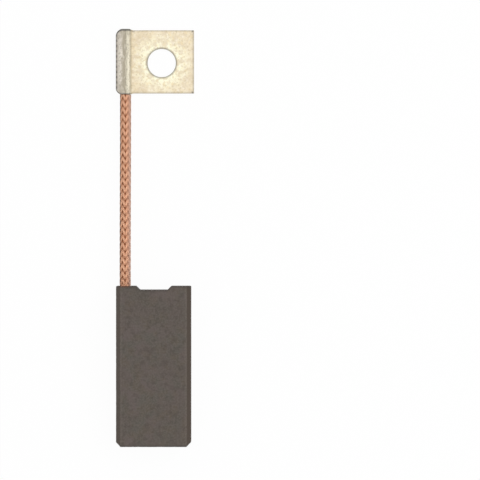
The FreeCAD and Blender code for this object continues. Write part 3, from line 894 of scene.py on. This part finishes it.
def folded_strip():
    """Places of the folded part in mm, and how dark each is painted at the sheared ends and the tooth
    marks.
    """
    places, marks = [], []
    shares = np.linspace(0.0, 1.0, STATIONS + 1)
    for (x, z), out in zip(fold_line, fold_out):
        outer_x = x + out[0] * MIDDLE
        near = BARREL_NEAR + trim_at(outer_x, NEAR_CORNER)
        far = BARREL_FAR - trim_at(outer_x, FAR_CORNER)
        y = near + (far - near) * shares
        faces_left = climb(out[0], -0.52, -0.92)
        tooth = tooth_at(y) * faces_left
        at_tooth_height = climb(z, 1.3, 1.1) * climb(z, 0.55, 0.8)
        on_top = climb(z, 1.2, 1.4) * climb(x, -6.0, -5.6)
        left_of_ridge = climb(x, -4.3, -4.6)
        sway = np.array([noise.noise(Vector((3.1, v * 0.45, 0.0))) for v in y])
        dent = np.array([noise.noise(Vector((x * 1.3, v * 0.8, 7.0))) for v in y])
        xs = x + TOOTH_DEPTH * tooth * at_tooth_height + GROOVE_SWAY * on_top * sway * left_of_ridge
        zs = z + on_top * (DENT_HEIGHT * dent - DENT_DROP)
        places.extend(np.stack([xs, y, zs], 1))
        # Painted shade at the sheared ends and in the tooth marks, over the darker bare brass of the
        # cut.
        cut = np.maximum(NEAR_CUT_SHADE * climb(y - near, 0.27, 0.15), FAR_CUT_SHADE * climb(far - y, 0.4, 0.24))
        cut = cut * (0.45 + 0.55 * climb(z, 0.5, 1.1))
        tooth_shade_height = max(0.2, climb(abs(z - 1.4), 0.54, 0.14))
        marks.extend(np.maximum(cut, tooth * tooth_shade_height))
    return places, marks


print("places in the folded strip:", len(fold_line) * (STATIONS + 1))

# %% [markdown]
# The flag is a flat plate with a screw hole. Rings of points that start as a circle and end as the
# plate's rectangle carry the surface round the hole without any cut, so its edge stays clean. The
# ring points on the left side fall exactly on the folded strip's first row, and merging joins them.

# %% Shape of the flag
HOLE_X, HOLE_Y, HOLE_RADIUS = 1.27, 50.79, 2.375
RINGS = np.array([0.0, 0.02, 0.04, 0.07, 0.11, 0.2, 0.32, 0.45, 0.6, 0.75, 0.87, 0.93, 0.96, 0.985, 1.0])
BORDER_POINTS = 81


def flag_border():
    """Points once round the flag: up the joint, along the far edge, down, and back."""
    join_near = BARREL_NEAR + trim_at(FOLD_START_X, NEAR_CORNER)
    join_far = BARREL_FAR - trim_at(FOLD_START_X, FAR_CORNER)
    up = [(FOLD_START_X, y) for y in np.linspace(join_near, join_far, STATIONS + 1)]
    far = [(x, FLAG_FAR) for x in np.linspace(FOLD_START_X, FLAG_EDGE_X, BORDER_POINTS)[1:]]
    down = [(FLAG_EDGE_X, y) for y in np.linspace(FLAG_FAR, FLAG_NEAR, BORDER_POINTS)[1:]]
    back = [(x, FLAG_NEAR) for x in np.linspace(FLAG_EDGE_X, FOLD_START_X, BORDER_POINTS)[1:-1]]
    return np.array(up + far + down + back)


def flag_cut_and_shade(x, y):
    """How dark the plate is painted at a place, as bare cut edge and painted shade: most at the punched
    hole and at the right corners.
    """
    from_hole = math.hypot(x - HOLE_X, y - HOLE_Y) - HOLE_RADIUS
    from_right = FLAG_EDGE_X - x
    from_ends = min(y - FLAG_NEAR, FLAG_FAR - y)
    from_burr = math.hypot(from_right - 0.22, from_ends - 0.1)
    hole = 0.62 * climb(from_hole, 0.34, 0.12)
    right = 0.4 * climb(from_right, 0.32, 0.1)
    ends = 0.5 * climb(from_ends, 0.28, 0.0)
    corner = 0.88 * climb(from_burr, 0.27, 0.12)
    return max(hole, right, ends, corner)


def flag_rings():
    """Places, darkness and faces of the flag, ring by ring from the hole to the border."""
    border = flag_border()
    centre = np.array([HOLE_X, HOLE_Y])
    away = border - centre
    reach = np.linalg.norm(away, axis=1)
    edge = centre + away / reach[:, None] * HOLE_RADIUS
    places, marks = [], []
    for share in RINGS:
        for x, y in edge + (border - edge) * share:
            places.append((x, y, MIDDLE))
            marks.append(flag_cut_and_shade(x, y))
    count = len(border)
    faces = []
    for ring in range(len(RINGS) - 1):
        low, high = ring * count, (ring + 1) * count
        for k in range(count):
            n = (k + 1) % count
            faces.append((low + k, high + k, high + n, low + n))
    return places, marks, faces


print("rings round the hole:", len(RINGS))

# %% [markdown]
# Tin plate over brass is warm white. Near the screw hole it is clean and yellowish, and towards the
# borders it is more beige. All over it lie beige clouds, small spots that are a little yellower
# or paler, and fine specks. The crimped barrel is greyer and blotched, since the die has burnished
# it; painted shade lies in its groove and on its rolled side, and painted light right of the groove.
# The sheared edges were cut after plating, so they are darker bare brass, and they and the die's
# tooth marks also carry painted shade. How dark each vertex should be is kept on the mesh for that.

# %% Colours of the tin plate
GROOVE_SIDES = (-5.65, -5.15, -4.77, -4.68)
ROLLED_SIDE_X = -6.06


def flag_colour(tree, fine):
    """Clean round the hole and beige towards the borders, with clouds, spots and specks."""
    from_hole = mm_from(tree, (HOLE_X * MM, HOLE_Y * MM, SHEET * MM))
    clouds = ramp(tree, grain(tree, 0.9, 3.0), 0.45, 0.6, 0.0, 0.7)
    tinge = grain(tree, 0.5, 2.0)
    colour = blend(tree, ramp(tree, from_hole, 2.9, 5.3), paint(248, 245, 219), paint(233, 220, 193))
    colour = blend(tree, clouds, colour, paint(218, 202, 174))
    colour = blend(tree, ramp(tree, tinge, 0.55, 0.7, 0.0, 0.5), colour, paint(232, 212, 166))
    colour = blend(tree, ramp(tree, tinge, 0.45, 0.3, 0.0, 0.5), colour, paint(246, 238, 224))
    return blend(tree, ramp(tree, fine, 0.54, 0.68, 0.0, 0.65), colour, paint(207, 191, 157))


def barrel_colour(tree, fine):
    """Grey and blotched, with painted shade in the groove and on the rolled side and painted light right
    of the groove. The groove's edges sway.
    """
    streaks = grain(tree, 0.45, 3.0, stretch=(1.0, 0.35, 1.0))
    sway = times(tree, maths(tree, "SUBTRACT", streaks, 0.5), 0.9)
    x, z = mm_on(tree, "X"), mm_on(tree, "Z")
    across = maths(tree, "ADD", x, sway)
    left, full_from, full_to, right = GROOVE_SIDES
    # Painted shade in the crimp groove.
    groove = times(tree, ramp(tree, across, left, full_from), ramp(tree, across, right, full_to))
    groove = times(tree, groove, ramp(tree, z, 1.0, 1.3))
    # Painted shade on the rolled side.
    rolled_side_shade = ramp(tree, x, ROLLED_SIDE_X, ROLLED_SIDE_X - 0.3, 0.0, 0.55)
    rolled_side_shade = times(tree, rolled_side_shade, ramp(tree, z, 0.8, 1.2, 0.3, 1.0))
    # Painted light: right of the groove the barrel is painted lighter than left of it.
    colour = blend(tree, ramp(tree, across, -4.95, -4.75), paint(211, 203, 191), paint(219, 212, 191))
    colour = blend(tree, times(tree, groove, 0.9), colour, paint(152, 144, 126))
    colour = blend(tree, ramp(tree, streaks, 0.5, 0.64, 0.0, 0.55), colour, paint(168, 160, 142))
    colour = blend(tree, ramp(tree, streaks, 0.46, 0.34, 0.0, 0.35), colour, paint(226, 220, 204))
    colour = blend(tree, ramp(tree, fine, 0.55, 0.68, 0.0, 0.7), colour, paint(150, 142, 124))
    return blend(tree, rolled_side_shade, colour, paint(104, 98, 86))


print("width of the dark groove in mm:", round(GROOVE_SIDES[-1] - GROOVE_SIDES[0], 2))

# %% [markdown]
# Two finishes would leave a hard line at the barrel, so one finish fades from the flag to it. A
# painted shade lies in the seam, and the dark of the shears and the die, bare metal with painted
# shade, comes last, over the rest.


# %% Tinned brass finish
def tin_finish():
    finish, tree, shader = new_finish("tinned_brass", Metallic=0.5, Roughness=0.56)
    fine = grain(tree, 0.3, 3.0)
    x, z = mm_on(tree, "X"), mm_on(tree, "Z")
    on_barrel = ramp(tree, x, BARREL_RIGHT + 0.13, BARREL_RIGHT + 0.01)
    colour = blend(tree, on_barrel, flag_colour(tree, fine), barrel_colour(tree, fine))
    # Painted shade in the seam, where the barrel comes down onto the flag.
    seam_shade = ramp(tree, x, BARREL_RIGHT + 0.23, BARREL_RIGHT + 0.09)
    seam_shade = times(tree, seam_shade, ramp(tree, z, 0.75, 0.5))
    colour = blend(tree, times(tree, seam_shade, 0.38), colour, paint(158, 146, 118))
    # The dark of the shears and the die: darker bare brass with painted shade.
    colour = blend(tree, vertex_mark(tree, "sheared_and_shaded"), colour, paint(86, 84, 80))
    tree.links.new(colour, shader.inputs["Base Color"])
    roughen(tree, shader, fine, 0.004)
    return finish


tin = tin_finish()
print("finish:", tin.name)

# %% [markdown]
# The folded strip and the flag become one mesh, since they are one strip of metal. The points along
# the joint are merged, and two modifiers finish the sheet: Solidify makes it 0.4 mm thick, and Bevel
# breaks the sheared edges.


# %% Make the terminal
def make_terminal():
    """The whole strip as one thin surface, with its darkness kept on the vertices."""
    places, marks = folded_strip()
    along = STATIONS + 1
    faces = []
    for i in range(len(fold_line) - 1):
        for j in range(along - 1):
            low, high = i * along + j, (i + 1) * along + j
            faces.append((low, low + 1, high + 1, high))
    flag_places, flag_marks, flag_faces = flag_rings()
    shift = len(places)
    faces += [tuple(v + shift for v in face) for face in flag_faces]
    piece = make_piece("terminal_strip", places + flag_places, faces, tin)
    mark_vertices(piece, "sheared_and_shaded", marks + flag_marks)
    joined = bmesh.new()
    joined.from_mesh(piece.data)
    bmesh.ops.remove_doubles(joined, verts=joined.verts, dist=0.002 * MM)
    bmesh.ops.recalc_face_normals(joined, faces=joined.faces)
    joined.to_mesh(piece.data)
    joined.free()
    return piece


def add_modifier(piece, name, kind, **settings):
    """One modifier with its settings."""
    modifier = piece.modifiers.new(name, kind)
    for setting, value in settings.items():
        setattr(modifier, setting, value)


terminal = make_terminal()
add_modifier(terminal, "sheet_thickness", "SOLIDIFY", thickness=SHEET * MM, offset=0.0)
add_modifier(
    terminal, "sheared_edges", "BEVEL", width=0.05 * MM, segments=2,
    limit_method="ANGLE", angle_limit=math.radians(50.0),
)
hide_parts("terminal")

# %% [markdown]
# The pigtail is limp: in the motor it bends as the block wears. The mesh can't show that.

# %% The cord's diameter
print("cord diameter in mm:", 2.0 * CORD_RADIUS)

# %% [markdown]
# The brush lies on a white sheet under soft light. The white that the camera sees is mostly a glow
# of strength 1, which only camera, mirror and glass rays meet. It lights nothing, so the lamp can
# stay plain and the carbon keeps its true darkness. The rest is the sheet's own colour, which carries
# the faint shadow. The sheet lies a hair below the part, so that no two faces share one plane.

# %% White sheet
SHEET_HALF_SIDE = 0.6
SHEET_DROP = 0.02 * MM
GLOW_SHARE = 0.96


def seen_rays(tree):
    """1 for rays from the camera, from a mirror or through glass, and 0 for rays that light."""
    rays = add_node(tree, "ShaderNodeLightPath").outputs
    seen = maths(tree, "MAXIMUM", rays["Is Camera Ray"], rays["Is Glossy Ray"])
    return maths(tree, "MAXIMUM", seen, rays["Is Transmission Ray"])


def white_sheet_finish():
    finish, tree, shader = new_finish("white_sheet", Base_Color=(0.92, 0.92, 0.92, 1.0), Roughness=0.9)
    glow = add_node(tree, "ShaderNodeEmission", {"Color": (1.0, 1.0, 1.0, 1.0), "Strength": 1.0})
    mixed = add_node(tree, "ShaderNodeMixShader", {
        0: times(tree, seen_rays(tree), GLOW_SHARE),
        1: shader.outputs["BSDF"],
        2: glow.outputs["Emission"],
    })
    tree.links.new(mixed.outputs["Shader"], tree.nodes["Material Output"].inputs["Surface"])
    return finish


half, low = SHEET_HALF_SIDE, -SHEET_DROP
sheet_corners = [(-half, -half, low), (half, -half, low), (half, half, low), (-half, half, low)]
sheet_mesh = bpy.data.meshes.new("white_sheet")
sheet_mesh.from_pydata(sheet_corners, [], [(0, 1, 2, 3)])
sheet_mesh.materials.append(white_sheet_finish())
sheet = bpy.data.objects.new("white_sheet", sheet_mesh)
scene.collection.objects.link(sheet)
print("width of the white sheet in mm:", round(2.0 * SHEET_HALF_SIDE / MM))

# %% [markdown]
# An even white sky gives most of the light, as in a light tent. One broad lamp stands high to the
# right, because the copper's left flank and the barrel's left side are the darker ones. Together
# they come to a level at which a colour renders about as it is written.

# %% Lamp and sky
SKY_LEVEL = 0.72
LAMP_PLACE = (0.36, 0.12, 0.58)
LAMP_SIZE = 0.5
LAMP_WATTS = 1.6
LIT_SPOT = Vector((0.0, 0.02, 0.0))

lamp = bpy.data.lights.new("key_from_right", "AREA")
lamp.shape = "SQUARE"
lamp.size = LAMP_SIZE
lamp.energy = LAMP_WATTS
lamp_holder = bpy.data.objects.new("key_from_right", lamp)
lamp_holder.location = LAMP_PLACE
lamp_holder.rotation_euler = (LIT_SPOT - Vector(LAMP_PLACE)).to_track_quat("-Z", "Y").to_euler()
scene.collection.objects.link(lamp_holder)

world = bpy.data.worlds.new("studio_sky")
world.use_nodes = True
sky = world.node_tree
sky_strength = ramp(sky, seen_rays(sky), 0.0, 1.0, SKY_LEVEL, 1.0)
sky.links.new(sky_strength, sky.nodes["Background"].inputs["Strength"])
sky.nodes["Background"].inputs["Color"].default_value = (1.0, 1.0, 1.0, 1.0)
scene.world = world
print("sky level:", SKY_LEVEL, "lamp in W:", LAMP_WATTS)
